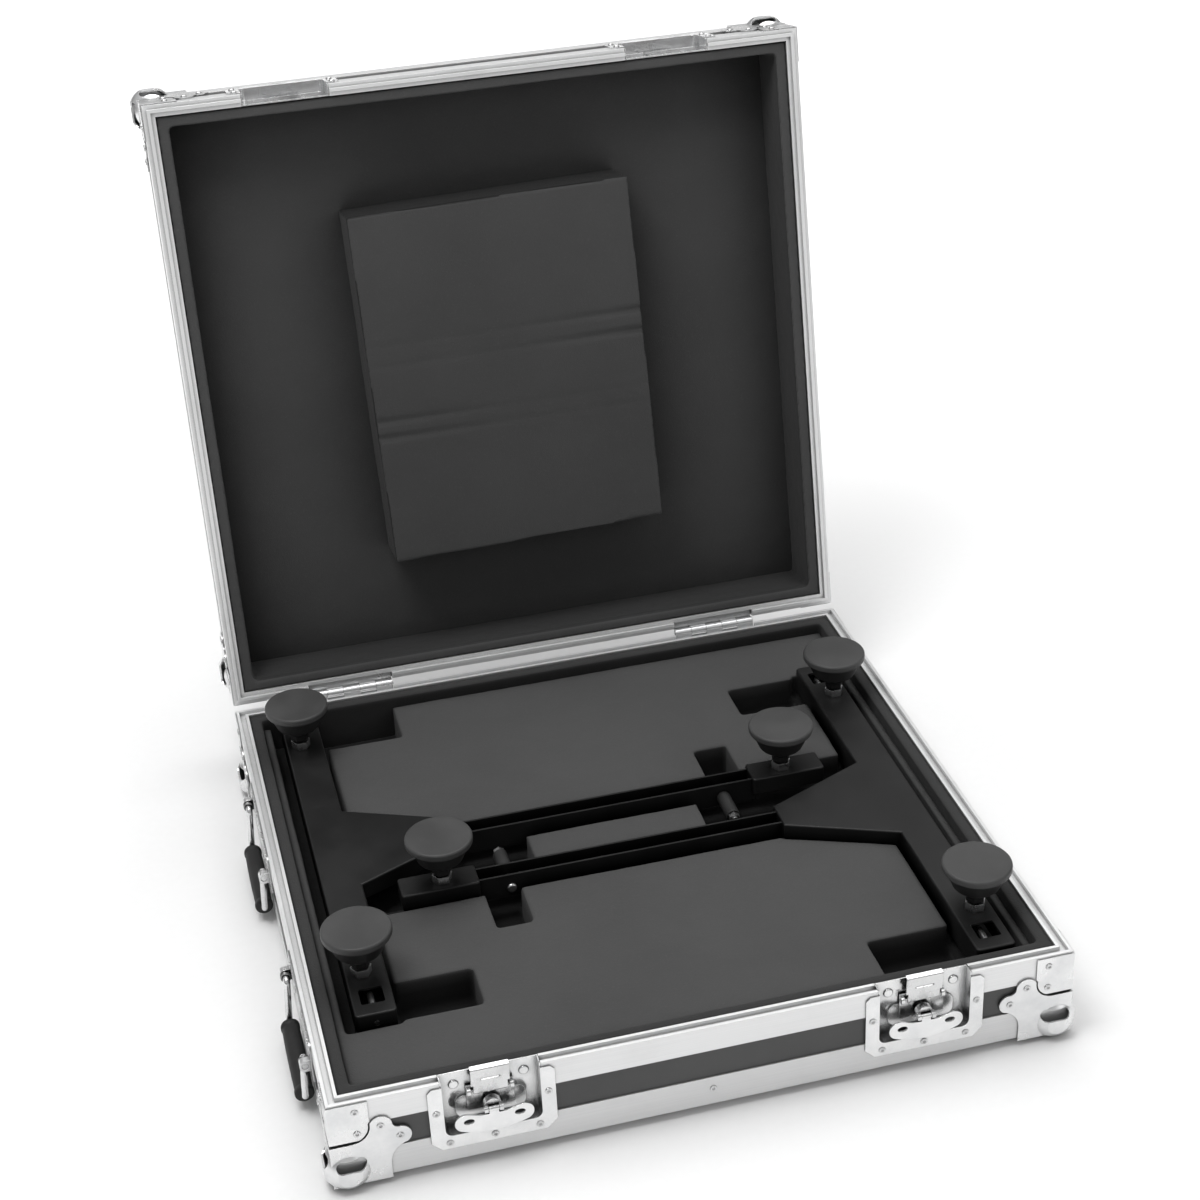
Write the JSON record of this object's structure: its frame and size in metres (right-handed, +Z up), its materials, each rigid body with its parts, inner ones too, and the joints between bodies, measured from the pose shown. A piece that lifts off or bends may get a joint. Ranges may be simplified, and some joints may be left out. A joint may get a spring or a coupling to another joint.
{
  "type": "flight case",
  "caption": "Shallow hinged flight case with aluminium edging, ball corners, butterfly latches and cut foam that holds display-stand bases.",
  "frame": {"origin": "centre of the base underside, level with the bottom edging; the ball corners stand 8 mm below it", "axes": "+X right along the hinge line, +Y back towards the hinges, +Z up; the lid is open 101 degrees at rest"},
  "size_m": [0.718, 0.8666, 0.7317],
  "materials": {
    "laminate": "black laminated plywood",
    "edging": "satin anodised",
    "plated_steel": "zinc plated and polished",
    "bright_steel": "bright zinc",
    "spring_steel": "oiled spring wire",
    "grip_rubber": "moulded black rubber",
    "foam": "fine closed-cell foam, matt charcoal",
    "black_steel": "black powder coat, fine texture",
    "foot_black": "dark grey powder coat on a cast foot"
  },
  "bodies": {
    "base": {"base_floor_panel": "laminate", "base_front_panel": "laminate", "base_rear_panel": "laminate", "base_end_panels": "laminate", "base_rim_extrusions": "edging", "base_edge_angles": "edging", "base_ball_corners": "plated_steel", "base_rim_braces": "plated_steel", "latch_dishes": "plated_steel", "hinge_base_leaves": "plated_steel", "handle_plates": "plated_steel", "base_rivets": "bright_steel", "hinge_pins": "bright_steel", "latch_seats": "bright_steel", "foot_lock_nuts": "bright_steel", "stand_cross_pins": "bright_steel", "stand_end_screws": "bright_steel", "handle_springs": "spring_steel", "base_wall_lining": "foam", "foam_insert": "foam", "stand_frame_left": "black_steel", "stand_frame_right": "black_steel", "stand_spacers": "foot_black"},
    "lid": {"lid_top_panel": "laminate", "lid_front_panel": "laminate", "lid_rear_panel": "laminate", "lid_end_panels": "laminate", "lid_rim_extrusions": "edging", "lid_edge_angles": "edging", "lid_ball_corners": "plated_steel", "lid_rim_braces": "plated_steel", "lid_rivets": "bright_steel", "keeper_dishes": "plated_steel", "keeper_bars": "bright_steel", "hinge_lid_leaves": "plated_steel", "lid_wall_lining": "foam", "lid_floor_foam": "foam", "lid_foam_block": "foam"},
    "spindle_left": {"latch_spindle_left": "bright_steel"},
    "wing_left": {"latch_wing_left": "plated_steel"},
    "slider_left": {"latch_slider_left": "bright_steel"},
    "hook_left": {"latch_hook_left": "bright_steel"},
    "spindle_right": {"latch_spindle_right": "bright_steel"},
    "wing_right": {"latch_wing_right": "plated_steel"},
    "slider_right": {"latch_slider_right": "bright_steel"},
    "hook_right": {"latch_hook_right": "bright_steel"},
    "bail_left_rear": {"bail_left_rear": "plated_steel", "grip_left_rear": "grip_rubber"},
    "bail_left_front": {"bail_left_front": "plated_steel", "grip_left_front": "grip_rubber"},
    "bail_right_rear": {"bail_right_rear": "plated_steel", "grip_right_rear": "grip_rubber"},
    "bail_right_front": {"bail_right_front": "plated_steel", "grip_right_front": "grip_rubber"},
    "foot_left_rear": {"foot_left_rear": "foot_black"},
    "foot_left_front": {"foot_left_front": "foot_black"},
    "foot_left_arm": {"foot_left_arm": "foot_black"},
    "foot_right_front": {"foot_right_front": "foot_black"},
    "foot_right_rear": {"foot_right_rear": "foot_black"},
    "foot_right_arm": {"foot_right_arm": "foot_black"}
  },
  "joints": [
    {"name": "lid_hinge", "type": "hinge", "parent": "base", "child": "lid", "pos_m": [0, 0.3245, 0.09], "axis": [1, 0, 0], "range_deg": [0, 101]},
    {"name": "latch_turn_left", "type": "hinge", "parent": "base", "child": "spindle_left", "pos_m": [-0.198, -0.31, 0.055], "axis": [0, 1, 0], "range_deg": [0, 180]},
    {"name": "wing_fold_left", "type": "hinge", "parent": "spindle_left", "child": "wing_left", "pos_m": [-0.198, -0.3248, 0.055], "axis": [-1, 0, 0], "range_deg": [0, 90]},
    {"name": "hook_draw_left", "type": "slide", "parent": "base", "child": "slider_left", "axis": [0, 0, -1], "range_m": [0, 0.003]},
    {"name": "hook_tilt_left", "type": "hinge", "parent": "slider_left", "child": "hook_left", "pos_m": [-0.198, -0.3152, 0.069], "axis": [-1, 0, 0], "range_deg": [0, 7]},
    {"name": "latch_turn_right", "type": "hinge", "parent": "base", "child": "spindle_right", "pos_m": [0.198, -0.31, 0.055], "axis": [0, 1, 0], "range_deg": [0, 180]},
    {"name": "wing_fold_right", "type": "hinge", "parent": "spindle_right", "child": "wing_right", "pos_m": [0.198, -0.3248, 0.055], "axis": [-1, 0, 0], "range_deg": [0, 90]},
    {"name": "hook_draw_right", "type": "slide", "parent": "base", "child": "slider_right", "axis": [0, 0, -1], "range_m": [0, 0.003]},
    {"name": "hook_tilt_right", "type": "hinge", "parent": "slider_right", "child": "hook_right", "pos_m": [0.198, -0.3152, 0.069], "axis": [-1, 0, 0], "range_deg": [0, 7]},
    {"name": "handle_left_rear", "type": "hinge", "parent": "base", "child": "bail_left_rear", "pos_m": [-0.347, 0.122, 0.06], "axis": [0, 1, 0], "range_deg": [0, 90]},
    {"name": "handle_left_front", "type": "hinge", "parent": "base", "child": "bail_left_front", "pos_m": [-0.347, -0.162, 0.06], "axis": [0, 1, 0], "range_deg": [0, 90]},
    {"name": "handle_right_rear", "type": "hinge", "parent": "base", "child": "bail_right_rear", "pos_m": [0.347, 0.122, 0.06], "axis": [0, -1, 0], "range_deg": [0, 90]},
    {"name": "handle_right_front", "type": "hinge", "parent": "base", "child": "bail_right_front", "pos_m": [0.347, -0.162, 0.06], "axis": [0, -1, 0], "range_deg": [0, 90]},
    {"name": "foot_spin_left_rear", "type": "hinge", "parent": "base", "child": "foot_left_rear", "pos_m": [-0.2815, 0.233, 0.1], "axis": [0, 0, 1], "continuous": true},
    {"name": "foot_spin_left_front", "type": "hinge", "parent": "base", "child": "foot_left_front", "pos_m": [-0.2815, -0.153, 0.1], "axis": [0, 0, 1], "continuous": true},
    {"name": "foot_spin_left_arm", "type": "hinge", "parent": "base", "child": "foot_left_arm", "pos_m": [0.184, 0.04, 0.1], "axis": [0, 0, 1], "continuous": true},
    {"name": "foot_spin_right_front", "type": "hinge", "parent": "base", "child": "foot_right_front", "pos_m": [0.2815, -0.233, 0.1], "axis": [0, 0, 1], "continuous": true},
    {"name": "foot_spin_right_rear", "type": "hinge", "parent": "base", "child": "foot_right_rear", "pos_m": [0.2815, 0.153, 0.1], "axis": [0, 0, 1], "continuous": true},
    {"name": "foot_spin_right_arm", "type": "hinge", "parent": "base", "child": "foot_right_arm", "pos_m": [-0.184, -0.04, 0.1], "axis": [0, 0, 1], "continuous": true}
  ],
  "couplings": [
    {"joint": "hook_draw_left", "follows": "latch_turn_left", "m_per_rad": 0.00095175},
    {"joint": "hook_tilt_left", "follows": "latch_turn_left", "ratio": 0.038833},
    {"joint": "hook_draw_right", "follows": "latch_turn_right", "m_per_rad": 0.00095175},
    {"joint": "hook_tilt_right", "follows": "latch_turn_right", "ratio": 0.038833}
  ]
}
